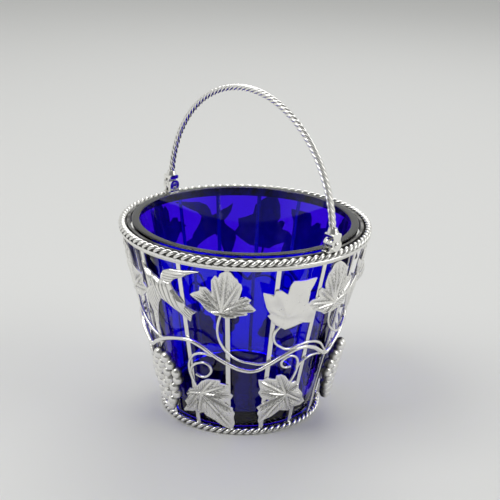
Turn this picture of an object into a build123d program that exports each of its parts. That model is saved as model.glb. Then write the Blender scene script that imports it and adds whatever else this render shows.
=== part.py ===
from build123d import *
from math import atan2, cos, degrees, pi, radians, sin, sqrt, tan
import os

# Cream pail: an openwork silver basket with a swing handle and a lift-out glass liner.
# Millimetres. +Z is up, the origin is at the middle of the foot on the table, and X runs
# through both handle pivots. Angles go round the pail from +X, anticlockwise from above.

# Driving sizes
RIM_OUTER_R = 45.0          # rope-twist rim, outside
FOOT_OUTER_R = 29.8         # rope-twist foot, outside
RIM_BASE_Z = 66.9           # underside of the rim band
LINER_TOP_Z = 71.2          # ground edge of the glass
PIVOT_Z = 73.2              # handle pivot axis
BAIL_R = 43.2               # centre line of the handle's bow
BAIL_CENTRE_Z = 74.0        # centre of the bow's circle
STAVE_COUNT = 16
STAVE_START = -3.9          # angle of the first stave

# Wire and sheet sizes
ROPE_R = 1.3
FOOT_ROPE_R = 1.25
FOOT_FLAT = 0.25            # flat that the foot stands on
RIM_WIRE_R = 0.75
BAIL_WIRE_R = 1.25
STAVE_W = 1.55
SHEET_T = 0.8               # staves and leaves
BIRD_T = 1.0
VINE_R = 0.75
STEM_R = 0.55
SOLDER = 0.12               # how far the round wires are let into the staves

# Rim band and base plate
BAND_IN_R = 41.0
BAND_T = 1.0
BAND_TOP_Z = 70.4
FLANGE_T = 0.7
FLANGE_OUT_R = 44.0
PLATE_T = 1.0
PLATE_TOP_Z = 1.9

# Glass liner
LINER_TOP_R = 40.5
LINER_FOOT_R = 26.6
LINER_WALL = 2.8
LINER_BASE_T = 4.6
LINER_EDGE = 0.4

# Handle hinge: the knuckle's slices, measured outwards along X
EAR_R = 2.1
INNER_EAR = (41.0, 42.35)
MIDDLE_CHEEK = (42.45, 43.45)
MIDDLE_EAR = (43.55, 44.3)
OUTER_CHEEK = (44.4, 45.4)
SADDLE_HALF_Y = 2.8
SADDLE_TOP_Z = 71.0
PIN_R = 0.6
PIN_GAP = 0.05
HEAD_R = 1.1
HEAD_T = 0.35
CROWN_GAP = 0.3             # between the crown and the lug's ears
CROWN_T = 1.5

# The staves' outer face is one cone, and everything outside lies on it
WALL_TOP = (43.6, 67.0)     # radius and height
WALL_FOOT = (28.8, 2.2)
SLOPE = (WALL_TOP[0] - WALL_FOOT[0]) / (WALL_TOP[1] - WALL_FOOT[1])
LEAN = degrees(atan2(SLOPE, 1))


def wall_r(z):
    """Radius of the staves' outer face at a height."""
    return WALL_FOOT[0] + SLOPE * (z - WALL_FOOT[1])


def wall_plane(angle, z):
    """Plane on the wall: X to the right as seen from outside, Y up the slope, Z outwards."""
    a, b = radians(angle), radians(LEAN)
    out = (cos(a) * cos(b), sin(a) * cos(b), -sin(b))
    return Plane((wall_r(z) * cos(a), wall_r(z) * sin(a), z), x_dir=(-sin(a), cos(a), 0), z_dir=out)


def wall_point(angle, z, stand_off):
    """Point on the wall, moved out square to it."""
    return wall_plane(angle, z).from_local_coords(Vector(0, 0, stand_off))


def wall_shell(inner, outer, low=-4.0, high=80.0):
    """Conical shell between two distances outside the staves' outer face."""
    step = 1 / cos(radians(LEAN))
    corners = [(wall_r(z) + d * step, z) for d, z in
               ((inner, low), (outer, low), (outer, high), (inner, high))]
    return turned(Plane.XZ * Polygon(*corners, align=None))


def turned(section):
    """A section in the XZ plane, turned round the pail's axis."""
    return revolve(section, Axis.Z, 360)


def disc(x, z, r):
    """Round section of a ring."""
    return Plane.XZ * (Pos(x, z) * Circle(r))


def block(x, z, width, height):
    """Rectangular section of a ring, from its lower inner corner."""
    return Plane.XZ * (Pos(x + width / 2, z + height / 2) * Rectangle(width, height))


# Rings


def rim_sections():
    """Sections of the rim's band, rope and plain wire, each cut clear of the one before."""
    flange = block(BAND_IN_R, RIM_BASE_Z, FLANGE_OUT_R - BAND_IN_R, FLANGE_T)
    band = flange + block(BAND_IN_R, RIM_BASE_Z, BAND_T, BAND_TOP_Z - RIM_BASE_Z)
    rope_z = SADDLE_TOP_Z - 0.2 - ROPE_R
    rope = disc(RIM_OUTER_R - ROPE_R, rope_z, ROPE_R)
    wire_z = RIM_BASE_Z + FLANGE_T + RIM_WIRE_R - 0.1
    wire = disc(RIM_OUTER_R - RIM_WIRE_R - 0.1, wire_z, RIM_WIRE_R) - rope - band
    return band, rope, wire


def foot_rope():
    whole = turned(disc(FOOT_OUTER_R - FOOT_ROPE_R, FOOT_ROPE_R - FOOT_FLAT, FOOT_ROPE_R))
    return whole - Pos(0, 0, -5) * Cylinder(50, 10)


def base_plate(rope):
    plate = Pos(0, 0, PLATE_TOP_Z - PLATE_T / 2) * Cylinder(FOOT_OUTER_R - FOOT_ROPE_R, PLATE_T)
    return plate - rope


# Staves


def stave(shell, rope):
    """Flat wire along the wall, from the foot rope to the rim band."""
    bar = Box(STAVE_W, 90, 8)
    placed = wall_plane(STAVE_START, 35) * bar
    span = RIM_BASE_Z - PLATE_TOP_Z
    between = Pos(0, 0, PLATE_TOP_Z + span / 2) * Box(120, 120, span)
    return placed & shell & between - rope


# Glass liner


def glass_liner():
    """Tapered tumbler with a thick base and a ground, slightly rounded edge."""
    slope = (LINER_TOP_R - LINER_FOOT_R) / (LINER_TOP_Z - PLATE_TOP_Z)
    floor_z = PLATE_TOP_Z + LINER_BASE_T
    floor_r = LINER_FOOT_R + slope * LINER_BASE_T - LINER_WALL
    section = Polygon(
        (0, PLATE_TOP_Z), (LINER_FOOT_R, PLATE_TOP_Z), (LINER_TOP_R, LINER_TOP_Z),
        (LINER_TOP_R - LINER_WALL, LINER_TOP_Z), (floor_r, floor_z), (0, floor_z), align=None)
    edges = [v for v in section.vertices() if v.Y > LINER_TOP_Z - 0.01]
    section = fillet(edges, LINER_EDGE)
    corner = [v for v in section.vertices() if abs(v.X - floor_r) < 0.01]
    section = fillet(corner, 3.0)
    heel = [v for v in section.vertices() if abs(v.X - LINER_FOOT_R) < 0.01]
    section = fillet(heel, 1.2)
    return turned(Plane.XZ * section)


# Handle and hinge, modelled on the +X side


def plate(span, outline):
    """A YZ outline given thickness along X."""
    return Pos(span[0], 0, 0) * extrude(Plane.YZ * outline, span[1] - span[0])


def cross_hole(radius):
    return Pos(43, 0, PIVOT_Z) * (Rot(0, 90, 0) * Cylinder(radius, 12))


def ear_outline(foot_z):
    """A round ear on a straight foot."""
    height = PIVOT_Z - foot_z
    return Pos(0, PIVOT_Z) * Circle(EAR_R) + Pos(0, foot_z + height / 2) * Rectangle(2 * EAR_R, height)


def hinge_lug(rings):
    """Saddle across the rim with two ears, holed for the pin."""
    low = BAND_TOP_Z - 1.2
    saddle = plate((INNER_EAR[0], MIDDLE_EAR[1]),
                   Pos(0, (low + SADDLE_TOP_Z) / 2) * Rectangle(2 * SADDLE_HALF_Y, SADDLE_TOP_Z - low))
    lug = saddle + plate(INNER_EAR, ear_outline(low)) + plate(MIDDLE_EAR, ear_outline(low))
    lug -= cross_hole(PIN_R)
    recess = Pos(INNER_EAR[0] + HEAD_T / 2, 0, PIVOT_Z) * (Rot(0, 90, 0) * Cylinder(HEAD_R, HEAD_T))
    lug -= recess
    for ring in rings:
        lug -= ring
    return lug.solids().sort_by(SortBy.VOLUME)[-1]


def hinge_pin():
    """Rivet with one head sunk in the lug and a domed head outside the handle."""
    inner, outer = INNER_EAR[0], OUTER_CHEEK[1] + 0.1
    side = [(0, inner), (HEAD_R, inner), (HEAD_R, inner + HEAD_T), (PIN_R, inner + HEAD_T), (PIN_R, outer),
            (HEAD_R, outer), (HEAD_R * 0.6, outer + HEAD_T), (0, outer + HEAD_T)]
    pin = revolve(Plane.XZ * Polygon(*side, align=None), Axis.Z, 360)
    return Pos(0, 0, PIVOT_Z) * (Rot(0, 90, 0) * pin)


def yoke(bow):
    """Forked end of the handle: a crown over two cheeks that straddle the lug's middle ear."""
    crown_low = PIVOT_Z + EAR_R + CROWN_GAP
    crown_z = crown_low + CROWN_T / 2
    crown = plate((INNER_EAR[0] + 0.3, OUTER_CHEEK[1]), Pos(0, crown_z) * RectangleRounded(3.8, CROWN_T, 0.5))
    stem_h = crown_z - PIVOT_Z
    cheek = Pos(0, PIVOT_Z) * Circle(EAR_R) + Pos(0, PIVOT_Z + stem_h / 2) * Rectangle(3.2, stem_h)
    body = crown + plate(MIDDLE_CHEEK, cheek) + plate(OUTER_CHEEK, cheek)
    collar_z = crown_low + CROWN_T
    collar = Pos(BAIL_R - 0.1, 0, collar_z) * Cone(2.0, 1.45, 1.6, align=(Align.CENTER, Align.CENTER, Align.MIN))
    body += collar
    return body - cross_hole(PIN_R + PIN_GAP) - bow


def bail_wire():
    """Bow of the handle, from collar to collar."""
    start = degrees(atan2(PIVOT_Z + EAR_R + CROWN_GAP + CROWN_T - BAIL_CENTRE_Z, BAIL_R))
    path = Plane.XZ * (Pos(0, BAIL_CENTRE_Z) * CenterArc((0, 0), BAIL_R, start, 180 - 2 * start))
    at_start = Plane(path @ 0, z_dir=path % 0)
    return sweep(at_start * Circle(BAIL_WIRE_R), path)


# Leaves, birds and grapes


LEAF_HALF = ((0, 1.0), (0.09, 0.88), (0.17, 0.86), (0.20, 0.70), (0.17, 0.58), (0.32, 0.67), (0.50, 0.62),
             (0.45, 0.48), (0.53, 0.36), (0.37, 0.29), (0.54, 0.11), (0.37, 0.04), (0.24, -0.06), (0.06, 0.08))


def leaf(angle, z, size, turn, shell):
    """Five-lobed vine leaf. Its middle is at angle and z, and turn tips its point to the left."""
    half = [(x * size, (y - 0.5) * size) for x, y in LEAF_HALF]
    outline = half + [(-x, y) for x, y in reversed(half[1:])]
    face = Rot(0, 0, turn) * Polygon(*outline, align=None)
    prism = extrude(face, 8, both=True)
    return wall_plane(angle, z) * prism & shell


BIRD_HALF = ((12.1, 0), (8.6, 0.5), (7.6, 1.3), (6.2, 1.2), (4.6, 2.0), (4.6, 7.0), (1.5, 12.8), (-4.6, 16.6),
             (-2.0, 12.4), (-1.2, 9.0), (-1.0, 4.6), (-2.6, 2.0), (-5.0, 1.1), (-13.2, 2.9), (-12.4, 0))


def bird(angle, z, turn, shell, wall):
    """Swallow with swept wings and a full round body, its beak towards turn."""
    outline = list(BIRD_HALF) + [(x, -y) for x, y in reversed(BIRD_HALF[1:-1])]
    prism = extrude(Rot(0, 0, turn) * Polygon(*outline, align=None), 8, both=True)
    flat = wall_plane(angle, z) * prism & shell
    spine = Plane.XZ * make_face(ThreePointArc((-6, 0), (1, 1.9), (8.4, 0)) + Line((8.4, 0), (-6, 0)))
    spindle = revolve(spine, Axis.X, 360)
    body = wall_plane(angle, z) * (Pos(0, 0, 0.3) * Rot(0, 0, turn) * spindle)
    return flat + (body - wall)


GRAPE_ROWS = (2, 3, 2, 3, 2, 2, 1)
GRAPE_R = 1.75
GRAPE_PITCH = 3.1


def grapes(angle, z, wall):
    """Bunch of grapes in staggered rows that narrow to one at the bottom."""
    bunch = None
    for row, count in enumerate(GRAPE_ROWS):
        for i in range(count):
            x = (i - (count - 1) / 2) * GRAPE_PITCH
            proud = 0.9 - 0.05 * x * x
            y = -row * GRAPE_PITCH * 0.92
            berry = wall_plane(angle, z) * (Pos(x, y, proud) * Sphere(GRAPE_R))
            bunch = berry if bunch is None else bunch + berry
    return bunch - wall


# Vine and stems


def wire_along(route, radius):
    """Round wire laid on the wall through (angle, height) points, with tangent arcs at its bends."""
    points = [wall_point(a, z, radius - SOLDER) for a, z in route]
    runs = [(b - a).length for a, b in zip(points, points[1:])]
    radii = []
    for i in range(1, len(points) - 1):
        turn = radians((points[i] - points[i - 1]).get_angle(points[i + 1] - points[i]))
        radii.append(0.45 * min(runs[i - 1], runs[i]) / tan(turn / 2))
    path = FilletPolyline(*points, radius=radii)
    start = Plane(path @ 0, z_dir=path % 0)
    return sweep(start * Circle(radius), path)


VINE_MID_Z = 32.6
VINE_SWING = 4.6
VINE_WAVES = 6
VINE_CREST = -68.7          # angle of one crest
VINE_STEP = 6


def vine(start, end):
    """One length of the wavy main vine."""
    count = round((end - start) / VINE_STEP)
    angles = [start + i * VINE_STEP for i in range(count + 1)]
    route = [(a, VINE_MID_Z + VINE_SWING * cos(radians(VINE_WAVES * (a - VINE_CREST)))) for a in angles]
    return wire_along(route, VINE_R)


def save(name, shape):
    shape.label = name
    export_step(shape, f"parts/{name}.step")


def main():
    os.makedirs("parts", exist_ok=True)
    sheet = wall_shell(-SHEET_T, 0)
    leaf_shell = wall_shell(0, SHEET_T)
    bird_shell = wall_shell(0, BIRD_T)
    wall = wall_shell(-6, 0)
    band, rope, wire = (turned(s) for s in rim_sections())
    foot = foot_rope()
    save("rim_band", band)
    save("rim_rope", rope)
    save("rim_wire", wire)
    save("foot_rope", foot)
    save("base_plate", base_plate(foot))
    save("glass_liner", glass_liner())

    first = stave(sheet, foot)
    for i in range(STAVE_COUNT):
        save(f"stave_{i + 1:02d}", Rot(0, 0, i * 360 / STAVE_COUNT) * first)

    bow = bail_wire()
    save("bail_wire", bow)
    lug, pin, fork = hinge_lug((band, rope)), hinge_pin(), yoke(bow)
    for side, turn in (("right", 0), ("left", 180)):
        save(f"hinge_lug_{side}", Rot(0, 0, turn) * lug)
        save(f"hinge_pin_{side}", Rot(0, 0, turn) * pin)
        save(f"bail_yoke_{side}", Rot(0, 0, turn) * fork)

    for third in range(3):
        turn = third * 120
        n = third + 1
        for letter, a, z, size, tip in UPPER_LEAVES:
            save(f"upper_leaf_{n}{letter}", leaf(a + turn, z, size, tip, leaf_shell))
        for letter, a, z, size, tip in LOWER_LEAVES:
            save(f"lower_leaf_{n}{letter}", leaf(a + turn, z, size, tip, leaf_shell))
        save(f"bird_{n}", bird(BIRD[0] + turn, BIRD[1], BIRD[2], bird_shell, wall))
        save(f"grapes_{n}", grapes(GRAPES[0] + turn, GRAPES[1], wall))
        save(f"vine_{n}", vine(VINE_CREST + turn, VINE_CREST + turn + 120))


# Places on the wall: letter, angle, height, size, and the way the point tips
UPPER_LEAVES = (("a", -51.3, 56.6, 19.6, 0), ("b", -18.5, 53.6, 19.8, -50), ("c", 6.5, 55.6, 19.8, 20))
LOWER_LEAVES = (("a", -62.5, 13.6, 20.5, 200), ("b", -14.5, 14.2, 20.5, 150))
BIRD = (-83.5, 54.8, 142)
GRAPES = (-96.5, 24.4)


main()
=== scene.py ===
# %% [markdown]
# # A silver cream pail with a blue glass liner
# This script dresses a small openwork pail: a basket of silver wire with vine leaves, birds
# and grapes laid round it, a swing handle of twisted wire, and a tapered cobalt glass liner
# standing inside. The real pail is about 9 cm across and 12 cm high with its handle up.
# The construction comes ready made as a fixed frame. Here we only give it its looks.

# %% Load the frame
from math import asin, atan, atan2, cos, degrees, exp, hypot, pi, radians, sin, tan

import bmesh
import bpy
from mathutils import Matrix, Vector


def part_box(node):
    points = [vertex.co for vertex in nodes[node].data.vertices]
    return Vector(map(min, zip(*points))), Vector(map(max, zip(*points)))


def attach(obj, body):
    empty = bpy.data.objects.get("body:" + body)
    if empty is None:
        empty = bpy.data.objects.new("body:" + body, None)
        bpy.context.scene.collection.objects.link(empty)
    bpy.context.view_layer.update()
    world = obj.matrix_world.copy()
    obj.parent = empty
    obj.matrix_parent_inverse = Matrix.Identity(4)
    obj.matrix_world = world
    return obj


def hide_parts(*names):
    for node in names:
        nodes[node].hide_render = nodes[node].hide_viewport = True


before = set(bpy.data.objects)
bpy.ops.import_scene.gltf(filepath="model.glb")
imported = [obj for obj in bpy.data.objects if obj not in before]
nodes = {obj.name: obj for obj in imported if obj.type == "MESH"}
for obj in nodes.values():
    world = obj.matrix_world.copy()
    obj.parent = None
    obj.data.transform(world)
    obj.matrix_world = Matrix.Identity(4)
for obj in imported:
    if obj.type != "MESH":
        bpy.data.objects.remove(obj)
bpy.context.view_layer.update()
MM = 0.001
print("nodes in the frame:", len(nodes))

# %% [markdown]
# ## The camera
# The camera was worked out from the photograph: the round rim and foot show as ellipses, and
# only one viewpoint and lens draws both of them, the sixteen staves and the handle where they
# are seen. The values below are that answer, so the render lines up with the photograph.

# %% Put the camera at the photograph's viewpoint
CAMERA_DISTANCE = 409.84 * MM
CAMERA_ELEVATION = radians(22.643)
CAMERA_ROLL = radians(-1.758)
FOCAL_PX = 1115.76
IMAGE_PX = 500
CENTRE_PX = (244.43, 312.81)     # where the pail's axis crosses the aim height
AIM_Z = 34.4 * MM
VIEW_ANGLE = radians(-41.7)      # the side of the pail that faces the camera, from +X
SENSOR_MM = 36.0


def aim_camera():
    """Camera turned from the aim point by the offsets of the picture's centre."""
    toward = Vector((cos(VIEW_ANGLE), sin(VIEW_ANGLE), 0))
    flat = CAMERA_DISTANCE * cos(CAMERA_ELEVATION)
    place = toward * flat + Vector((0, 0, CAMERA_DISTANCE * sin(CAMERA_ELEVATION) + AIM_Z))
    ahead = (Vector((0, 0, AIM_Z)) - place).normalized()
    right = ahead.cross(Vector((0, 0, 1))).normalized()
    up = right.cross(ahead)
    yaw = atan((IMAGE_PX / 2 - CENTRE_PX[0]) / FOCAL_PX)
    pitch = atan((IMAGE_PX / 2 - CENTRE_PX[1]) / FOCAL_PX)
    turn_yaw = Matrix.Rotation(-yaw, 3, up)
    ahead, right = turn_yaw @ ahead, turn_yaw @ right
    turn_pitch = Matrix.Rotation(-pitch, 3, right)
    ahead, up = turn_pitch @ ahead, turn_pitch @ up
    roll = Matrix.Rotation(CAMERA_ROLL, 3, ahead)
    right, up = roll @ right, roll @ up
    bpy.ops.object.camera_add(location=place)
    camera = bpy.context.object
    axes = Matrix((right, up, -ahead)).transposed()
    camera.matrix_world = Matrix.Translation(place) @ axes.to_4x4()
    camera.data.sensor_width = SENSOR_MM
    camera.data.lens = FOCAL_PX / IMAGE_PX * SENSOR_MM
    camera.data.clip_start = 0.01
    return camera


bpy.context.scene.camera = aim_camera()
print("lens in mm:", round(bpy.context.scene.camera.data.lens, 2))

# %% [markdown]
# ## Sizes read from the frame
# The staves' outer face is one cone, and leaves, birds, grapes and vine all lie on it. We read
# that cone from the first stave, so every piece laid on the wall follows the real construction.

# %% Read the wall's cone


def node_points(name):
    """Radius and height of each point of a frame node."""
    return [(hypot(v.co.x, v.co.y), v.co.z) for v in nodes[name].data.vertices]


def wall_line():
    """Radius at the foot, radius gained per metre of height, and the foot's height."""
    points = node_points("stave_01")
    low = min(z for r, z in points)
    high = max(z for r, z in points)
    middle = (low + high) / 2
    r_high = max(r for r, z in points if z > high - 0.0002)
    r_low = max(r for r, z in points if z < middle - 0.025)
    z_low = min(z for r, z in points if r > r_low - 0.00002 and z < middle - 0.025)
    return r_low, (r_high - r_low) / (high - z_low), z_low


WALL_R, WALL_SLOPE, WALL_Z = wall_line()
LEAN = atan(WALL_SLOPE)


def wall_radius(z):
    return WALL_R + WALL_SLOPE * (z - WALL_Z)


def on_wall(angle, z, proud):
    """Point at an angle in degrees and a height, moved out square to the wall."""
    a = radians(angle)
    r = wall_radius(z) + proud * cos(LEAN)
    return Vector((r * cos(a), r * sin(a), z - proud * sin(LEAN)))


def wrap(x, y, proud, angle, z):
    """Bend a flat point (x to the right, y up the slope) on to the wall round a middle point."""
    height = z + y * cos(LEAN)
    return on_wall(angle + degrees(x / wall_radius(height)), height, proud)


print("wall radius at the foot in mm:", round(WALL_R / MM, 2), "lean in degrees:", round(degrees(LEAN), 2))

# %% [markdown]
# ## Small helpers for working by hand
# Every tool in Blender acts on what is selected, so we always start from nothing selected. A
# finished piece has its place in its mesh, rides on one body of the frame and takes a material.

# %% Helpers for selecting, joining and finishing


def nothing_selected():
    if bpy.context.object and bpy.context.object.mode != "OBJECT":
        bpy.ops.object.mode_set(mode="OBJECT")
    bpy.ops.object.select_all(action="DESELECT")


def pick(*objects):
    nothing_selected()
    for obj in objects:
        obj.select_set(True)
    bpy.context.view_layer.objects.active = objects[0]


def bake_place(obj):
    """Put the object's place into its mesh."""
    pick(obj)
    bpy.ops.object.transform_apply(location=True, rotation=True, scale=True)


def use_modifier(obj, kind, **settings):
    """Add a modifier with these settings and apply it at once."""
    pick(obj)
    modifier = obj.modifiers.new(kind.title(), kind)
    for key, value in settings.items():
        setattr(modifier, key, value)
    bpy.ops.object.modifier_apply(modifier=modifier.name)


def joined(objects, name):
    pick(*objects)
    if len(objects) > 1:
        bpy.ops.object.join()
    result = bpy.context.object
    result.name = name
    result.data.name = name
    return result


def copied(obj, name):
    """A copy with a mesh of its own."""
    twin = obj.copy()
    twin.data = obj.data.copy()
    twin.name = name
    twin.data.name = name
    bpy.context.scene.collection.objects.link(twin)
    return twin


def face_outwards(obj):
    pick(obj)
    bpy.ops.object.mode_set(mode="EDIT")
    bpy.ops.mesh.select_all(action="SELECT")
    bpy.ops.mesh.normals_make_consistent(inside=False)
    bpy.ops.object.mode_set(mode="OBJECT")


def smooth(obj, angle=40):
    pick(obj)
    bpy.ops.object.shade_smooth_by_angle(angle=radians(angle))


def finish_piece(obj, body, slot, material, *replaced):
    """Settle a finished piece: place in the mesh, one body, one material; the slot argument is not used."""
    bake_place(obj)
    obj.data.materials.clear()
    obj.data.materials.append(material)
    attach(obj, body)
    if replaced:
        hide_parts(*replaced)
    return obj


# %% [markdown]
# ## Silver
# Old silver is bright on its high spots and grey to almost black in its hollows. That darkness is
# partly tarnish, where polish never reaches, and partly painted shade: in grooves, where parts meet,
# on the berries' sides and on the rim band's inner side. The mesh carries it as an attribute called
# hollow, from 0 on a high spot to 1 in a groove, and the material darkens and dulls there. A fine noise
# breaks up the gloss, as years of rubbing do. Tarnish also makes the metal duller, so the same value
# drives both.

# %% Make the silver materials
SILVER = (0.93, 0.92, 0.89, 1)
TARNISH_AND_SHADE = (0.035, 0.032, 0.03, 1)


def node_tree(name):
    material = bpy.data.materials.new(name)
    material.use_nodes = True
    tree = material.node_tree
    return material, tree, tree.nodes["Principled BSDF"]


def add_noise(tree, scale, detail):
    """Noise on the piece's own Object coordinates."""
    place = tree.nodes.new("ShaderNodeTexCoord")
    noise = tree.nodes.new("ShaderNodeTexNoise")
    noise.inputs["Scale"].default_value = scale
    noise.inputs["Detail"].default_value = detail
    tree.links.new(place.outputs["Object"], noise.inputs["Vector"])
    return noise


def add_range(tree, source, low, high, to_low, to_high):
    node = tree.nodes.new("ShaderNodeMapRange")
    for key, value in zip(("From Min", "From Max", "To Min", "To Max"), (low, high, to_low, to_high)):
        node.inputs[key].default_value = value
    tree.links.new(source, node.inputs["Value"])
    return node.outputs["Result"]


def silver(name, rough_low, rough_high, dents):
    material, tree, shader = node_tree(name)
    shader.inputs["Metallic"].default_value = 1.0
    hollow = tree.nodes.new("ShaderNodeAttribute")
    hollow.attribute_name = "hollow"
    blotch = add_noise(tree, 260, 3)
    spread = add_range(tree, blotch.outputs["Fac"], 0.3, 0.75, 0.75, 1.1)
    depth = tree.nodes.new("ShaderNodeMath")
    depth.operation = "MULTIPLY"
    depth.use_clamp = True
    tree.links.new(hollow.outputs["Fac"], depth.inputs[0])
    tree.links.new(spread, depth.inputs[1])
    # Base colour mixed towards the dark tone by the hollow value: tarnish together with painted shade.
    tone = tree.nodes.new("ShaderNodeMix")
    tone.data_type = "RGBA"
    tone.inputs["A"].default_value = SILVER
    tone.inputs["B"].default_value = TARNISH_AND_SHADE
    tree.links.new(depth.outputs["Value"], tone.inputs["Factor"])
    tree.links.new(tone.outputs["Result"], shader.inputs["Base Color"])
    rub = add_noise(tree, 900, 4)
    rough = add_range(tree, rub.outputs["Fac"], 0.3, 0.7, rough_low, rough_high)
    dull = tree.nodes.new("ShaderNodeMath")
    dull.operation = "MULTIPLY_ADD"
    dull.inputs[1].default_value = 0.25
    tree.links.new(depth.outputs["Value"], dull.inputs[0])
    tree.links.new(rough, dull.inputs[2])
    tree.links.new(dull.outputs["Value"], shader.inputs["Roughness"])
    hammer = add_noise(tree, 420, 2)
    bump = tree.nodes.new("ShaderNodeBump")
    bump.inputs["Strength"].default_value = dents
    bump.inputs["Distance"].default_value = 0.0002
    tree.links.new(hammer.outputs["Fac"], bump.inputs["Height"])
    tree.links.new(bump.outputs["Normal"], shader.inputs["Normal"])
    return material


SILVER_WIRE = silver("silver_wire", 0.10, 0.22, 0.12)
SILVER_HANDLE = silver("silver_handle", 0.08, 0.18, 0.08)
SILVER_CAST = silver("silver_cast", 0.14, 0.28, 0.35)
print("silver materials:", SILVER_WIRE.name, SILVER_HANDLE.name, SILVER_CAST.name)

# %% [markdown]
# ## Cobalt glass
# The liner is blown or moulded glass, coloured right through, so it is a clear shader with a
# deep blue base colour: light that goes through two walls comes out darker than through one.
# A slow, weak bump gives the surface the slight waviness of old glass.

# %% Make the glass material
COBALT = (0.045, 0.003, 0.92, 1)


def cobalt_glass():
    material, tree, shader = node_tree("cobalt_glass")
    shader.inputs["Base Color"].default_value = COBALT
    shader.inputs["Roughness"].default_value = 0.015
    shader.inputs["IOR"].default_value = 1.5
    shader.inputs["Transmission Weight"].default_value = 1.0
    wave = add_noise(tree, 45, 1)
    bump = tree.nodes.new("ShaderNodeBump")
    bump.inputs["Strength"].default_value = 0.15
    bump.inputs["Distance"].default_value = 0.0004
    tree.links.new(wave.outputs["Fac"], bump.inputs["Height"])
    tree.links.new(bump.outputs["Normal"], shader.inputs["Normal"])
    return material


GLASS = cobalt_glass()

# %% [markdown]
# ## The glass liner
# A tumbler is a shape turned round an axis. We draw half its section with short runs of edges,
# from the middle of the underside up the outside, over the ground edge and down the inside, and
# the Spin tool carries it once round. The ground edge and the heel are slightly rounded, as
# they are on the real glass.

# %% Turn the liner from its section
LINER_WALL = 2.8 * MM
LINER_BASE = 4.6 * MM
EDGE_ROUND = 0.45 * MM
HEEL_ROUND = 1.3 * MM
FLOOR_ROUND = 3.5 * MM
GLASS_STEPS = 160


def rounded_section(corners):
    """Section through (radius, height, rounding) corners, each rounded with a small arc."""
    points = []
    for i, (x, z, rounding) in enumerate(corners):
        here = Vector((x, z))
        if not rounding:
            points.append(here)
            continue
        before = Vector(corners[i - 1][:2]) - here
        after = Vector(corners[i + 1][:2]) - here
        half = before.angle(after) / 2
        cut = rounding / tan(half)
        start, end = here + before.normalized() * cut, here + after.normalized() * cut
        middle = here + (before.normalized() + after.normalized()).normalized() * (rounding / sin(half))
        first, last = start - middle, end - middle
        sweep = first.angle(last)
        for k in range(7):
            t = k / 6
            blend = (first * sin((1 - t) * sweep) + last * sin(t * sweep)) / sin(sweep)
            points.append(middle + blend)
    return points


def turned_piece(name, section, steps):
    """Carry a section of (radius, height) points once round the pail's axis."""
    nothing_selected()
    bpy.ops.mesh.primitive_circle_add(vertices=3, radius=0.01)
    obj = bpy.context.object
    obj.name = name
    bpy.ops.object.mode_set(mode="EDIT")
    bpy.ops.mesh.select_all(action="SELECT")
    bpy.ops.mesh.delete(type="VERT")
    mesh = bmesh.from_edit_mesh(obj.data)
    verts = [mesh.verts.new((p[0], 0, p[1])) for p in section]
    for a, b in zip(verts, verts[1:]):
        mesh.edges.new((a, b))
    bmesh.update_edit_mesh(obj.data)
    bpy.ops.mesh.select_all(action="SELECT")
    bpy.ops.mesh.spin(steps=steps, angle=2 * pi, center=(0, 0, 0), axis=(0, 0, 1))
    bpy.ops.mesh.select_all(action="SELECT")
    bpy.ops.mesh.remove_doubles(threshold=1e-6)
    bpy.ops.mesh.normals_make_consistent(inside=False)
    bpy.ops.object.mode_set(mode="OBJECT")
    return obj


def liner_section():
    low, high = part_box("glass_liner")
    top_r = high.x - 0.00002
    foot = [(r, z) for r, z in node_points("glass_liner") if z < low.z + 0.0001]
    heel_r = max(r for r, z in foot) + HEEL_ROUND * 0.82
    slope = (top_r - heel_r) / (high.z - low.z)
    floor_z = low.z + LINER_BASE
    floor_r = heel_r + slope * LINER_BASE - LINER_WALL
    return rounded_section([
        (0, low.z, 0), (heel_r, low.z, HEEL_ROUND), (top_r, high.z, EDGE_ROUND),
        (top_r - LINER_WALL, high.z, EDGE_ROUND), (floor_r, floor_z, FLOOR_ROUND), (0, floor_z, 0)])


liner = turned_piece("liner", liner_section(), GLASS_STEPS)
smooth(liner, 60)
finish_piece(liner, "liner", "cobalt_glass", GLASS, "glass_liner")
print("liner faces:", len(liner.data.polygons))

# %% [markdown]
# ## Twisted wire
# The rim and the foot are two round wires twisted together, and the handle is four. One strand
# is a circle carried along a screw: the Screw modifier turns it and moves it on at the same time.
# The other strands are the same one, turned evenly round. The straight rope is then bent into a
# ring with the Simple Deform modifier, and its ends meet where the strands have made whole turns.

# %% Make a twisted rope and bend it
STRAND_SIDES = 12
STRAND_STEPS = 16
STRAND_SWELL = 1.02      # strands are a little thick, and set a little in, so that they touch
STRAND_SINK = 0.98
# The groove darkness is painted shade between the strands, together with tarnish.
GROOVE_DARK = 1.75       # hollowness at the rope's middle
GROOVE_FALL = 2.1        # and how much of it is lost out at the crests


def store_hollow(obj, values):
    """Store how deep in a hollow each point lies, kept between 0 and 1."""
    attribute = obj.data.attributes.get("hollow") or obj.data.attributes.new("hollow", "FLOAT", "POINT")
    attribute.data.foreach_set("value", [max(0.0, min(1.0, value)) for value in values])


def mark_hollow(obj, rule):
    """Hollowness of each point by a rule that takes its place."""
    store_hollow(obj, [rule(vertex.co) for vertex in obj.data.vertices])


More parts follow.
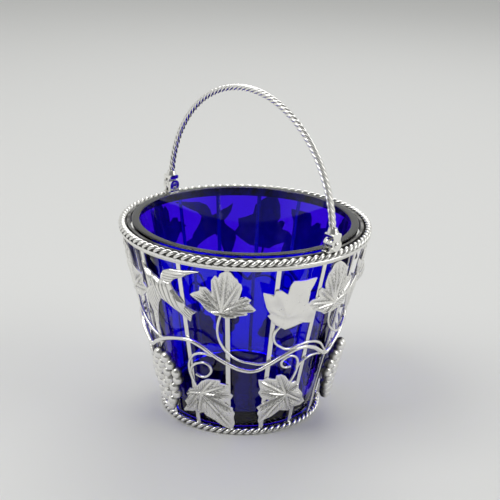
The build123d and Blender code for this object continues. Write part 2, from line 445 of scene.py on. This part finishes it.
def straight_rope(name, rope_r, turns, length, strand_count=2):
    """Strands twisted round the X axis, starting at the origin."""
    half_gap = sin(pi / strand_count)
    strand_r = rope_r * half_gap / (1 + half_gap)
    lay_r = rope_r - strand_r
    pitch = length / turns
    lay = atan2(pitch, 2 * pi * lay_r)
    strands = []
    for k in range(strand_count):
        nothing_selected()
        bpy.ops.mesh.primitive_circle_add(vertices=STRAND_SIDES, radius=strand_r * STRAND_SWELL,
                                          location=(0, lay_r * STRAND_SINK, 0), rotation=(0, -lay, 0))
        strand = bpy.context.object
        bake_place(strand)
        strand.rotation_euler = (2 * pi * k / strand_count, 0, 0)
        bake_place(strand)
        use_modifier(strand, "SCREW", axis="X", angle=-2 * pi, screw_offset=pitch, iterations=turns,
                     steps=STRAND_STEPS, render_steps=STRAND_STEPS, use_merge_vertices=False)
        strands.append(strand)
    rope = joined(strands, name)
    # Darker towards the rope's middle: tarnish and painted shade in the grooves between strands.
    mark_hollow(rope, lambda co: GROOVE_DARK - GROOVE_FALL * hypot(co.y, co.z) / rope_r)
    return rope


def bend_rope(rope, length, angle):
    """Bend a rope that lies along X round Z, so that its length becomes an arc of that angle."""
    rope.location = (-length / 2, 0, 0)
    bake_place(rope)
    # The modifier bends the whole box, and the strands' tilted ends reach a little past the length
    places = [vertex.co.x for vertex in rope.data.vertices]
    whole_angle = angle * (max(places) - min(places)) / length
    use_modifier(rope, "SIMPLE_DEFORM", deform_method="BEND", angle=whole_angle, deform_axis="Z")
    pick(rope)
    bpy.ops.object.mode_set(mode="EDIT")
    bpy.ops.mesh.select_all(action="SELECT")
    bpy.ops.mesh.remove_doubles(threshold=5e-6)
    bpy.ops.mesh.fill_holes(sides=0)
    bpy.ops.mesh.normals_make_consistent(inside=False)
    bpy.ops.object.mode_set(mode="OBJECT")


def rope_ring(name, node, rope_r, turns):
    """A ring of twisted wire in the place of a frame node."""
    low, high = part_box(node)
    middle_r = min(high.x, high.y) - rope_r
    length = 2 * pi * middle_r
    rope = straight_rope(name, rope_r, turns, length)
    bend_rope(rope, length, 2 * pi)
    rope.location = -centre_of(rope)
    bake_place(rope)
    rope.location = (0, 0, high.z - rope_r)
    bake_place(rope)
    smooth(rope, 60)
    return rope


def centre_of(obj):
    corners = [obj.matrix_world @ v.co for v in obj.data.vertices]
    low = Vector([min(c[i] for c in corners) for i in range(3)])
    high = Vector([max(c[i] for c in corners) for i in range(3)])
    return (low + high) / 2


RIM_ROPE_R = 1.3 * MM
FOOT_ROPE_R = 1.25 * MM
RIM_TURNS = 48
FOOT_TURNS = 36
rim_rope = rope_ring("rim_twist", "rim_rope", RIM_ROPE_R, RIM_TURNS)
finish_piece(rim_rope, "basket", "silver_wire", SILVER_WIRE, "rim_rope")
foot_rope = rope_ring("foot_twist", "foot_rope", FOOT_ROPE_R, FOOT_TURNS)
print("rim rope box in mm:", [round(v / MM, 2) for v in rim_rope.dimensions], len(rim_rope.data.polygons))

# %% [markdown]
# The pail stands on the foot rope, which is worn flat underneath. Points below the table are
# pushed up to it, which leaves the small flats that wear makes.

# %% Wear the foot flat
for vertex in foot_rope.data.vertices:
    vertex.co.z = max(vertex.co.z, 0.0)
finish_piece(foot_rope, "basket", "silver_wire", SILVER_WIRE, "foot_rope")

# %% [markdown]
# ## The handle's bow
# Twisted wire again, bent into a little less than half a circle and stood up between the two
# hinges.

# %% Bend the handle's bow
BAIL_WIRE_R = 1.25 * MM
BAIL_TURNS = 15
BAIL_STRANDS = 4


def handle_bow():
    low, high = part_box("bail_wire")
    radius = high.x - BAIL_WIRE_R
    centre_z = high.z - BAIL_WIRE_R - radius
    start = asin(max(0.0, (low.z - centre_z) / radius))
    sweep = pi - 2 * start
    length = radius * sweep
    rope = straight_rope("bow_twist", BAIL_WIRE_R, BAIL_TURNS, length, BAIL_STRANDS)
    bend_rope(rope, length, sweep)
    rope.rotation_euler = (-pi / 2, 0, 0)
    bake_place(rope)
    top = max(v.co.z for v in rope.data.vertices)
    rope.location = (0, 0, high.z - top)
    bake_place(rope)
    smooth(rope, 60)
    return rope


bow = handle_bow()
finish_piece(bow, "bail", "silver_handle", SILVER_HANDLE, "bail_wire")

# %% [markdown]
# ## Where the ornament lies
# The layout seen from the front fills a third of the way round, and is repeated three times, as
# in the frame. The back is therefore a guess. Each piece has a middle point, given by an angle
# in degrees round the pail and a height in millimetres.

# %% Places of the leaves, birds and grapes
THIRDS = (0, 120, 240)
UPPER_PLACES = {"a": (-50.3, 58.2), "b": (-13.3, 54.0), "c": (4.8, 57.6)}
LOWER_PLACES = {"a": (-60.6, 12.8), "b": (-20.2, 12.6)}
LOWER_PATTERNS = {"a": "d", "b": "e"}
BIRD_PLACE = (-83.5, 54.8)
GRAPE_PLACE = (-89.5, 28.6)
print("leaves:", 3 * (len(UPPER_PLACES) + len(LOWER_PLACES)))

# %% [markdown]
# ## A chased plate
# A leaf was sawn from sheet, domed from behind and chased with veins from the front. We start
# with a circle, extrude its edge inwards ring by ring, and give it a back the same way. The
# disc is then stretched until its rim is the outline. Because every point still knows how far
# along its spoke it is, the doming, the veins and the rolled edge are simple rules.

# %% A disc of rings with a back
SPOKES = 240
RINGS = 40
BACK_RINGS = 4
SHEET_THICKNESS = 0.35   # least thickness of a plate, in millimetres
RIM_THICKNESS = 0.25
BACK_HOLLOW = 0.6        # the back is never polished


def shrink_rings(count):
    """Extrude the selected loop inwards until it closes at the middle."""
    for k in range(count, 1, -1):
        factor = (k - 1) / k
        bpy.ops.mesh.extrude_region_move()
        bpy.ops.transform.resize(value=(factor, factor, 1))
    bpy.ops.mesh.extrude_region_move()
    bpy.ops.mesh.merge(type="CENTER")


def ringed_disc():
    """Disc of radius 1 with its front at height 0 and its back at height -1."""
    nothing_selected()
    bpy.ops.mesh.primitive_circle_add(vertices=SPOKES, radius=1)
    disc = bpy.context.object
    bpy.ops.object.mode_set(mode="EDIT")
    bpy.ops.mesh.select_all(action="SELECT")
    shrink_rings(RINGS)
    bpy.ops.mesh.select_all(action="DESELECT")
    mesh = bmesh.from_edit_mesh(disc.data)
    for edge in mesh.edges:
        if edge.is_boundary:
            edge.select_set(True)
    bmesh.update_edit_mesh(disc.data)
    bpy.ops.mesh.extrude_region_move(TRANSFORM_OT_translate={"value": (0, 0, -1)})
    shrink_rings(BACK_RINGS)
    bpy.ops.mesh.select_all(action="SELECT")
    bpy.ops.mesh.normals_make_consistent(inside=False)
    bpy.ops.object.mode_set(mode="OBJECT")
    return disc


BLANK = ringed_disc()


def reach(outline, start, angle):
    """Distance from a start point to the outline in one direction."""
    dx, dy = cos(angle), sin(angle)
    best = 0.0
    for (x1, y1), (x2, y2) in zip(outline, outline[1:] + outline[:1]):
        ex, ey = x2 - x1, y2 - y1
        cross = dx * ey - dy * ex
        if abs(cross) < 1e-9:
            continue
        along = ((x1 - start[0]) * ey - (y1 - start[1]) * ex) / cross
        on_edge = ((x1 - start[0]) * dy - (y1 - start[1]) * dx) / cross
        if along > best and -1e-6 <= on_edge <= 1 + 1e-6:
            best = along
    return best


def chased_plate(name, outline, middle, rule):
    """Flat plate in millimetres inside an outline, its height and hollowness given by a rule."""
    plate = copied(BLANK, name)
    reaches = {}
    hollows = []
    for vertex in plate.data.vertices:
        back = vertex.co.z < -0.5
        share = min(1.0, hypot(vertex.co.x, vertex.co.y))
        angle = round(atan2(vertex.co.y, vertex.co.x), 4)
        if angle not in reaches:
            reaches[angle] = reach(outline, middle, angle)
        far = share * reaches[angle]
        x, y = middle[0] + far * cos(angle), middle[1] + far * sin(angle)
        if back:
            vertex.co = (x, y, 0.0)
            hollows.append(BACK_HOLLOW)
            continue
        height, hollow = rule(x, y, share)
        vertex.co = (x, y, max(height, RIM_THICKNESS if share > 0.999 else SHEET_THICKNESS))
        hollows.append(hollow)
    store_hollow(plate, hollows)
    smooth(plate, 50)
    return plate


def lay_on_wall(piece, angle, z):
    """Bend a flat piece, in millimetres, on to the wall of the pail."""
    for vertex in piece.data.vertices:
        x, y, proud = vertex.co
        vertex.co = wrap(x * MM, y * MM, proud * MM, angle, z * MM)
    return piece


print("faces of a plate:", len(BLANK.data.polygons))

# %% [markdown]
# ## Vine leaves
# There are five leaf patterns, and each vein is a fine ridge between two
# dark furrows. The flesh between the veins is domed, and feather-like strokes are engraved
# slanting away from them. Towards the rim the sheet turns down, so the edge catches a line of
# light. The second upper leaf is nearly plain. The outlines were listed point by point from the
# photograph and turned into millimetres on the wall, x to the right and y up its slope.

# %% Outlines, hearts and vein tips of the leaves, in millimetres
LEAF_A = ((-1.1, -9.0), (-3.2, -9.0), (-6.0, -7.5), (-8.2, -4.7), (-11.9, -2.3), (-10.5, -1.2),
          (-8.3, 0.0), (-8.3, 1.4), (-6.0, 1.7), (-4.1, 0.0), (-4.2, 4.5), (-2.7, 7.0), (-1.8, 5.7),
          (-1.2, 7.6), (0.8, 8.6), (2.4, 8.4), (3.5, 6.8), (4.6, 5.8), (4.8, 4.5), (5.7, 4.0),
          (6.0, 2.3), (5.0, -1.4), (7.1, -0.8), (9.0, -2.2), (8.1, -3.2), (10.4, -6.2), (9.5, -7.0),
          (7.4, -7.2), (7.7, -8.2), (4.2, -8.8), (3.8, -9.4), (0.6, -9.8))
LEAF_B = ((-14.3, 5.1), (-10.2, 3.9), (-10.2, 5.6), (-8.3, 5.8), (-5.6, 3.7), (-5.2, 7.2), (-4.2, 8.7),
          (-2.2, 8.6), (4.5, 8.8), (4.2, 6.6), (3.0, 5.3), (2.6, 0.8), (2.6, -1.4), (5.4, -4.3),
          (6.6, -10.1), (3.1, -8.8), (0.4, -9.2), (-4.6, -10.3), (-8.6, -7.8), (-11.4, -4.3),
          (-10.6, -3.7), (-12.3, -0.8), (-13.4, 2.3))
LEAF_C = ((-10.1, -5.3), (-8.7, -3.9), (-5.7, -3.3), (-6.7, -0.6), (-5.3, 0.2), (-3.3, -1.0),
          (-4.6, 1.2), (-4.0, 5.7), (-2.5, 8.9), (0.6, 9.3), (3.6, 7.4), (6.2, 5.2), (6.8, 1.6),
          (9.4, 0.4), (12.6, -0.4), (12.2, -3.4), (14.0, -6.0), (11.0, -8.4), (7.4, -10.6),
          (3.4, -11.2), (-0.9, -11.5), (-3.0, -10.0), (-6.4, -8.6), (-8.7, -7.4))
LEAF_D = ((-4.8, 6.0), (-2.9, 8.6), (-0.6, 10.1), (4.3, 10.5), (4.1, 9.1), (6.8, 8.7), (7.2, 5.2),
          (8.3, 4.1), (7.3, 2.4), (5.0, 0.4), (7.9, -1.2), (7.8, -2.5), (8.5, -3.6), (8.0, -5.1),
          (8.2, -8.0), (7.5, -10.6), (6.0, -11.0), (3.5, -9.4), (0.7, -7.2), (-1.7, -6.2),
          (-3.0, -5.2), (-5.2, -6.4), (-6.2, -5.5), (-8.0, -6.2), (-11.4, -7.5), (-11.7, -6.6),
          (-9.7, -4.5), (-10.5, -2.3), (-9.0, -0.4), (-9.6, 1.4), (-7.9, 4.1), (-5.9, 4.6))
LEAF_E = ((6.3, 8.4), (7.8, 8.4), (9.7, 6.4), (9.8, 4.5), (12.0, 1.8), (12.5, -0.2), (14.0, -2.7),
          (11.9, -3.7), (8.8, -3.3), (7.6, -4.9), (5.1, -4.1), (2.9, -3.1), (-0.1, -5.7), (-3.2, -7.2),
          (-3.8, -8.9), (-4.6, -7.2), (-4.5, -5.1), (-5.3, -3.5), (-4.8, -2.3), (-5.8, -1.0),
          (-3.8, 0.8), (-1.6, 2.0), (-4.6, 3.5), (-5.9, 5.6), (-5.4, 7.2), (-6.0, 9.0), (-6.6, 11.5),
          (-4.9, 11.2), (-3.6, 12.2), (-0.4, 11.0), (-0.3, 12.5), (1.6, 12.7), (3.2, 11.7), (4.7, 9.6))
CHASED = 1.0
NEARLY_PLAIN = 0.0
LEAVES = {
    "a": (LEAF_A, (-1.0, -7.4),
          ((0.6, 7.6), (-3.0, 4.6), (4.8, 3.4), (-10.8, -2.0), (-7.0, 0.7), (8.0, -2.2), (9.5, -6.2),
           (6.6, -8.0), (-5.2, -8.0)), CHASED),
    "b": (LEAF_B, (-4.6, -6.0),
          ((3.2, 7.6), (-3.6, 7.4), (-12.6, 4.2), (5.2, -8.6), (-10.0, -4.4)), NEARLY_PLAIN),
    "c": (LEAF_C, (3.2, -7.6),
          ((-0.8, 8.0), (4.0, 6.0), (-3.4, 4.0), (-5.4, -1.0), (-9.2, -5.2), (-6.0, -8.2), (-0.6, -10.6),
           (11.6, -1.2), (12.6, -5.8)), CHASED),
    "d": (LEAF_D, (-3.3, 3.4),
          ((7.0, -10.0), (7.2, 4.2), (5.6, 8.0), (1.6, 9.8), (-8.8, 2.0), (-10.6, -6.6), (-4.8, -5.6),
           (7.2, -2.0)), CHASED),
    "e": (LEAF_E, (4.4, 3.6),
          ((-4.0, -7.8), (-5.2, 10.6), (0.6, 12.0), (-4.8, 5.6), (11.4, -1.6), (7.0, -4.2), (9.0, 6.6),
           (-4.6, -0.8)), CHASED)}
print("leaf patterns:", len(LEAVES))

# %% [markdown]
# A vein runs straight from the heart, where the stalk joins, to its tip. Every height and every
# hollow follows from how far a point is from the nearest vein and from the rim. All sizes here
# are millimetres.

# %% Rules for the chased surface
LEAF_RISE = 0.55
LEAF_DOME = 0.55
VEIN_RIDGE = 0.34
VEIN_FURROW = 0.42
STROKE_GAP = 1.35
STROKE_CUT = 0.24


def vein_place(x, y, heart, tips):
    """Distance to the nearest vein, distance along it, and that distance as a share of its length."""
    best = (1e9, 0, 0)
    for tx, ty in tips:
        vx, vy = tx - heart[0], ty - heart[1]
        length = hypot(vx, vy)
        t = max(0.0, min(1.0, ((x - heart[0]) * vx + (y - heart[1]) * vy) / length ** 2))
        gap = hypot(x - heart[0] - t * vx, y - heart[1] - t * vy)
        if gap < best[0]:
            best = (gap, t * length, t)
    return best


def leaf_rule(heart, tips, depth):
    """Height and hollowness of the front of a leaf, with its veins from a heart to their tips."""
    def rule(x, y, share):
        gap, along, t = vein_place(x, y, heart, tips)
        ridge = exp(-(gap / (0.36 - 0.16 * t)) ** 2)
        furrow = exp(-((gap - 0.72) / 0.34) ** 2) * (1 - 0.4 * t)
        flesh = 1 - exp(-(gap / 2.2) ** 2)
        phase = 2 * pi * (along - 1.5 * gap) / STROKE_GAP
        stroke = max(0.0, cos(phase)) ** 4 * min(1.0, gap / 0.8) * (1 - share ** 8)
        rolled = share ** 9
        wave = 0.3 * sin(0.55 * x + 1) * sin(0.5 * y) * (1 - rolled)
        relief = VEIN_RIDGE * ridge - VEIN_FURROW * furrow - STROKE_CUT * stroke
        height = LEAF_RISE + LEAF_DOME * flesh + depth * relief - 0.45 * rolled + wave
        # Darker in the furrows and strokes: tarnish and painted shade in the grooves.
        hollow = depth * (0.6 * furrow + 0.75 * stroke) * (1 - rolled) - 0.8 * ridge
        return height, hollow
    return rule


# %% [markdown]
# Each leaf is chased flat once, as a pattern. Copies of it are then bent on to the wall in their
# three places, and the flat patterns are thrown away.

# %% Lay the leaves round the wall
def laid_leaf(pattern, name, place, third):
    leaf = lay_on_wall(copied(pattern, "leaf_" + name), place[0] + third, place[1])
    return finish_piece(leaf, "basket", "silver_ornament", SILVER_CAST, name)


PATTERNS = {}
for letter, (outline, heart, tips, depth) in LEAVES.items():
    PATTERNS[letter] = chased_plate("pattern_" + letter, outline, heart, leaf_rule(heart, tips, depth))
for n, third in enumerate(THIRDS, 1):
    for letter, place in UPPER_PLACES.items():
        laid_leaf(PATTERNS[letter], f"upper_leaf_{n}{letter}", place, third)
    for letter, place in LOWER_PLACES.items():
        laid_leaf(PATTERNS[LOWER_PATTERNS[letter]], f"lower_leaf_{n}{letter}", place, third)
for pattern in PATTERNS.values():
    bpy.data.objects.remove(pattern)

# %% [markdown]
# ## Birds
# A bird is four chased plates soldered together: a full body with a thin neck and beak, two
# swept wings and a fan of tail feathers. Feathers are straight strokes along each plate.

# %% Outlines of the bird's plates, in millimetres
BIRD_BODY = ((-8.4, 8.6), (-6.4, 6.9), (-4.2, 6.2), (-2.2, 5.0), (-0.1, 4.1), (2.4, 4.6), (4.8, 4.2),
             (5.6, 1.8), (7.2, -0.5), (9.2, -2.9), (9.6, -5.4), (7.2, -7.2), (2.8, -4.7), (-0.7, -3.3),
             (-3.2, -1.0), (-4.8, 0.6), (-4.4, 1.8), (-5.9, 3.2), (-7.5, 5.4))
UPPER_WING = ((0.4, 3.4), (1.1, 6.2), (2.5, 8.2), (5.7, 9.6), (9.6, 9.9), (13.6, 10.6), (17.0, 10.8),
              (13.3, 9.2), (10.1, 7.4), (6.7, 5.8), (4.6, 3.6), (2.6, 2.4))
LOWER_WING = ((-4.4, 1.0), (-5.8, -0.4), (-8.7, -2.5), (-9.1, -5.1), (-8.1, -8.4), (-6.6, -11.5),
              (-4.5, -14.8), (-3.9, -10.3), (-2.7, -6.6), (-0.5, -3.2), (-0.6, 0.2), (-2.4, 1.4))
TAIL = ((6.0, -6.4), (8.6, -3.6), (10.7, -4.5), (13.5, -5.5), (11.4, -7.2), (10.6, -9.8), (8.6, -8.7))


def feather_rule(rise, dome, across, pitch, cut):
    """Domed plate with straight strokes along it; across is the direction that crosses them."""
    ax, ay = cos(radians(across)), sin(radians(across))

    def rule(x, y, share):
        stroke = max(0.0, cos(2 * pi * (x * ax + y * ay) / pitch)) ** 3 * min(1.0, 2.5 * (1 - share))
        height = rise + dome * (1 - share ** 2) ** 0.7 - cut * stroke - 0.25 * share ** 8
        return height, 0.85 * stroke
    return rule


def bird(number, third):
    body = chased_plate("body", BIRD_BODY, (1.4, 0.6), feather_rule(0.6, 1.7, 15, 1.5, 0.16))
    upper = chased_plate("upper_wing", UPPER_WING, (5.6, 7.4), feather_rule(0.6, 0.5, 95, 1.05, 0.2))
    lower = chased_plate("lower_wing", LOWER_WING, (-4.6, -4.4), feather_rule(0.6, 0.5, 15, 1.05, 0.2))
    tail = chased_plate("tail", TAIL, (9.2, -6.4), feather_rule(0.6, 0.4, 42, 0.95, 0.2))
    whole = joined([body, upper, lower, tail], f"swallow_{number}")
    lay_on_wall(whole, BIRD_PLACE[0] + third, BIRD_PLACE[1])
    return finish_piece(whole, "basket", "silver_ornament", SILVER_CAST, f"bird_{number}")


for number, third in enumerate(THIRDS, 1):
    bird(number, third)
bpy.data.objects.remove(BLANK)

# %% [markdown]
# ## Grapes
# A bunch is beads of silver soldered together in staggered rows that narrow downwards. One
# berry is an icosphere, very slightly stretched, and each copy gets its own place on the wall.
# Those in the middle stand further out, so the bunch is rounded.

# %% Build the bunches
GRAPE_ROWS = (2, 3, 4, 4, 3, 3, 2, 1)
GRAPE_R = 1.95 * MM
GRAPE_PITCH = 3.3 * MM
ROW_DROP = 0.9           # height of a row as a share of the pitch
BUNCH_HALF = 7.0 * MM
# The berries get painted shade on their sides, and less where they face out.
GRAPE_DARK = 0.9         # hollowness at a berry's side, and how much less where it faces out
GRAPE_FALL = 1.7


def bunch(number, angle, z):
    nothing_selected()
    bpy.ops.mesh.primitive_ico_sphere_add(subdivisions=4, radius=GRAPE_R)
    berry = bpy.context.object
    berry.scale = (1, 1, 1.08)
    bake_place(berry)
    berries = []
    for row, count in enumerate(GRAPE_ROWS):
        for i in range(count):
            x = (i - (count - 1) / 2) * GRAPE_PITCH + 0.25 * MM * sin(2.7 * row + number)
            y = -row * GRAPE_PITCH * ROW_DROP + 0.3 * MM * cos(3.1 * i + row)
            middle = 1 - (x / BUNCH_HALF) ** 2
            one = copied(berry, "berry")
            one.location = wrap(x, y, (0.8 + 1.5 * middle) * MM, angle, z)
            bake_place(one)
            berries.append(one)
    bpy.data.objects.remove(berry)
    grapes = joined(berries, f"grape_bunch_{number}")
    smooth(grapes, 60)
    out = (on_wall(angle, z, MM) - on_wall(angle, z, 0)).normalized()
    # Painted shade: each berry is darker where its surface turns away from the outward direction.
    store_hollow(grapes, [GRAPE_DARK - GRAPE_FALL * v.normal.dot(out) for v in grapes.data.vertices])
    return grapes


for number, third in enumerate(THIRDS, 1):
    grapes = bunch(number, GRAPE_PLACE[0] + third, GRAPE_PLACE[1] * MM)
    finish_piece(grapes, "basket", "silver_ornament", SILVER_CAST, f"grapes_{number}")
print("berries in a bunch:", sum(GRAPE_ROWS))

# %% [markdown]
# ## Vine, stalks and tendrils
# The vine is one drawn wire bent in waves round the pail and soldered to the staves, with
# thinner wires for the stalks and curls. Each wire is a smooth curve through a few listed points
# on the wall, with a round bevel, turned into a mesh when it lies right. Its
# thickness swells and thins a little along its length, as hand-filed wire does.

# %% Routes of the vine and its stalks, as angle and height
VINE = ((-97.7, 31.2), (-88, 34.6), (-78, 37.0), (-70, 37.7), (-63.5, 36.4), (-57, 33.5), (-49, 30.4),
        (-41, 28.2), (-34, 27.8), (-27, 30.0), (-19, 33.1), (-9, 35.3), (0, 34.0), (8, 30.8), (14.5, 28.6))
STALKS = (
    ((-51.9, 50.0), (-53.4, 46.5), (-53.9, 42.2), (-51.9, 37.6), (-48.2, 34.4), (-43.5, 32.2), (-37, 31.0),
     (-31, 30.4), (-25.5, 31.0)),
    ((-21.4, 46.4), (-25.3, 42.3), (-24.6, 39.2), (-21.2, 37.0), (-16.5, 35.6), (-10.5, 36.4), (-3, 36.6),
     (5, 34.8), (11, 31.4), (14.5, 28.9)),
    ((-112.4, 48.8), (-112.6, 45.4), (-110.8, 41.6), (-106, 38.4), (-99.5, 36.0), (-93.5, 34.8),
     (-89, 34.6)),
    ((-12.6, 20.4), (-10.2, 22.2), (-8.2, 25.0), (-7.0, 28.0), (-2.5, 30.0), (3.5, 30.4), (9, 29.6),
     (13, 29.0)),
    ((-8.2, 26.6), (-8.8, 30.0), (-12.3, 32.2), (-16.6, 32.0), (-19.0, 30.0), (-16.6, 28.0), (-12.8, 28.0)),
    ((-69.4, 18.6), (-71.6, 22.4), (-72.6, 26.0), (-71, 29.6), (-67, 32.4), (-61.8, 33.2), (-57.5, 32.8)),
    ((-72.2, 24.4), (-70.0, 27.0), (-66, 28.8), (-61.5, 29.3), (-58.6, 27.4), (-60.2, 24.6), (-64.4, 23.3),
     (-68.2, 24.0)),
    ((-88, 34.4), (-91.0, 32.0), (-93.4, 29.4)))
print("points in a third of the vine:", len(VINE))

# %% [markdown]
# The vine is one closed curve through all three thirds. A stalk is an open one with capped ends,
# whose caps are welded on. A wire is painted darker where it touches the wall, as shade, and is
# brightest on its crest.

# %% Lay the wires
VINE_R = 0.72 * MM
STALK_R = 0.46 * MM
WIRE_SIDES = 5


def laid_wire(name, route, radius, closed=False):
    """Smooth round wire lying on the wall through (angle, height) points, made into a mesh."""
    curve = bpy.data.curves.new(name, "CURVE")
    curve.dimensions = "3D"
    curve.bevel_depth = radius
    curve.bevel_resolution = WIRE_SIDES
    curve.resolution_u = 10
    curve.use_fill_caps = True
    spline = curve.splines.new("BEZIER")
    spline.bezier_points.add(len(route) - 1)
    for i, (point, (angle, z)) in enumerate(zip(spline.bezier_points, route)):
        point.co = on_wall(angle, z * MM, radius - 0.1 * MM)
        point.handle_left_type = point.handle_right_type = "AUTO"
        point.radius = 1 + 0.1 * sin(2.1 * i)
    spline.use_cyclic_u = closed
    wire = bpy.data.objects.new(name, curve)
    bpy.context.scene.collection.objects.link(wire)
    pick(wire)
    bpy.ops.object.convert(target="MESH")
    wire = bpy.context.object
    use_modifier(wire, "WELD", merge_threshold=2e-6)
    face_outwards(wire)
    # Painted shade: the wire gets darker towards the wall it lies on.
    mark_hollow(wire, lambda co: 0.6 - (hypot(co.x, co.y) - wall_radius(co.z)) / (0.8 * MM))
    smooth(wire, 60)
    return wire


def turned_route(route, turn):
    return [(angle + turn, z) for angle, z in route]


whole_vine = [point for third in THIRDS for point in turned_route(VINE, third)]
wires = [laid_wire("vine", whole_vine, VINE_R, closed=True)]
for third in THIRDS:
    for route in STALKS:
        wires.append(laid_wire("stalk", turned_route(route, third), STALK_R))
vine = joined(wires, "vine_and_stalks")
finish_piece(vine, "basket", "silver_ornament", SILVER_CAST, "vine_1", "vine_2", "vine_3")
print("wires:", len(wires))

# %% [markdown]
# ## Worn hinges and staves
# The frame's hinge pieces have the right sizes but sharp edges. Real ones are filed by hand and
# worn by years of polishing, so each edge gets a small round bevel. The faces are welded first,
# because a bevel can only follow an edge that both of its faces share.

# %% Soften the hinge pieces
HINGE_BEVEL = 0.3 * MM
LUG_FOOT_Z = 69.8 * MM   # where the lugs stand on the rim
YOKE_EYE_Z = 74.5 * MM


def softened(name, new_name, width, segments):
    """A copy of a frame node with its edges rounded."""
    piece = copied(nodes[name], new_name)
    use_modifier(piece, "WELD", merge_threshold=2e-6)
    use_modifier(piece, "BEVEL", width=width, segments=segments, limit_method="ANGLE",
                 angle_limit=radians(40))
    smooth(piece, 50)
    return piece


for side in ("left", "right"):
    for name in ("hinge_lug_" + side, "hinge_pin_" + side):
        worn = softened(name, "worn_" + name, HINGE_BEVEL, 3)
        # Painted shade: lugs and pins get darker towards their feet, where they stand on the rim.
        mark_hollow(worn, lambda co: 1.0 - (co.z - LUG_FOOT_Z) / (1.6 * MM))
        finish_piece(worn, "basket", "silver_wire", SILVER_WIRE, name)
    name = "bail_yoke_" + side
    worn = softened(name, "worn_" + name, HINGE_BEVEL, 3)
    # Painted shade: the yoke gets darker round its eye, between the hinge's leaves.
    mark_hollow(worn, lambda co: 0.35 - abs(co.z - YOKE_EYE_Z) / (1.2 * MM))
    finish_piece(worn, "bail", "silver_handle", SILVER_HANDLE, name)

# %% [markdown]
# The sixteen staves are flat drawn strips. Drawing leaves their long edges slightly round.

# %% Round the staves' edges
STAVE_COUNT = 16
STAVE_BEVEL = 0.22 * MM
for i in range(1, STAVE_COUNT + 1):
    name = f"stave_{i:02d}"
    stave = softened(name, "rounded_" + name, STAVE_BEVEL, 2)
    finish_piece(stave, "basket", "silver_wire", SILVER_WIRE, name)

# %% [markdown]
# The rim band stands inside the rope, and its inner side, facing into the pail, is painted dark as shade.

# %% Give the frame's own silver nodes their material
DARK_INSIDE_R = 42.5 * MM
# Painted shade on the band's inner side, a light even tone elsewhere.
mark_hollow(nodes["rim_band"], lambda co: 1.0 if hypot(co.x, co.y) < DARK_INSIDE_R else 0.2)
for node in nodes.values():
    if not node.hide_render:
        node.data.materials.clear()
        node.data.materials.append(SILVER_WIRE)

# %% [markdown]
# ## Table and light
# A plain pale table reaches far back and fades into pale surroundings.

# %% Lay the table
TABLE_SIZE = 14.0
TABLE_DROP = 0.00002     # just clear of the foot, so that the two faces don't share a plane
PALE = (0.70, 0.70, 0.69, 1)


def pale_material():
    material, tree, shader = node_tree("pale_table")
    shader.inputs["Base Color"].default_value = PALE
    shader.inputs["Roughness"].default_value = 0.9
    return material


nothing_selected()
bpy.ops.mesh.primitive_plane_add(size=TABLE_SIZE, location=(0, 0, -TABLE_DROP))
table = bpy.context.object
table.name = "table"
table.data.materials.append(pale_material())

# %% [markdown]
# Large soft lamps light the pail from the upper left, from the right and from behind. Silver
# shows what it reflects, so its contrast comes from the surroundings: they are pale, except for a
# dimmer room on the photographer's side.

# %% Light the studio
scene = bpy.context.scene
scene.view_settings.view_transform = "Standard"


def soft_lamp(name, bearing, distance, height, size, power):
    """A square lamp that looks at the pail. The bearing is from the camera's side."""
    a = VIEW_ANGLE + radians(bearing)
    place = Vector((distance * cos(a), distance * sin(a), height))
    nothing_selected()
    bpy.ops.object.light_add(type="AREA", location=place)
    lamp = bpy.context.object
    lamp.name = name
    lamp.data.size = size
    lamp.data.energy = power
    aim = Vector((0, 0, 0.05)) - place
    lamp.rotation_euler = aim.to_track_quat("-Z", "Y").to_euler()
    return lamp


soft_lamp("key_lamp", -70, 0.55, 0.75, 0.5, 2.6)
soft_lamp("fill_lamp", 75, 0.65, 0.45, 0.5, 1.2)
soft_lamp("back_lamp", 170, 0.7, 0.8, 0.6, 2.4)


ROOM_RISE = 0.35         # how far above level the dark room lies


def studio_world():
    """Pale surroundings, with a darker room on the photographer's side."""
    world = bpy.data.worlds.new("studio")
    scene.world = world
    world.use_nodes = True
    tree = world.node_tree
    back = tree.nodes["Background"]
    back.inputs["Color"].default_value = (0.99, 1.0, 0.985, 1)
    place = tree.nodes.new("ShaderNodeTexCoord")
    facing = tree.nodes.new("ShaderNodeVectorMath")
    facing.operation = "DOT_PRODUCT"
    facing.inputs[1].default_value = Vector((cos(VIEW_ANGLE), sin(VIEW_ANGLE), ROOM_RISE)).normalized()
    tree.links.new(place.outputs["Generated"], facing.inputs[0])
    level = add_range(tree, facing.outputs["Value"], 0.3, 0.85, 0.68, 0.18)
    tree.links.new(level, back.inputs["Strength"])
    return world


studio_world()
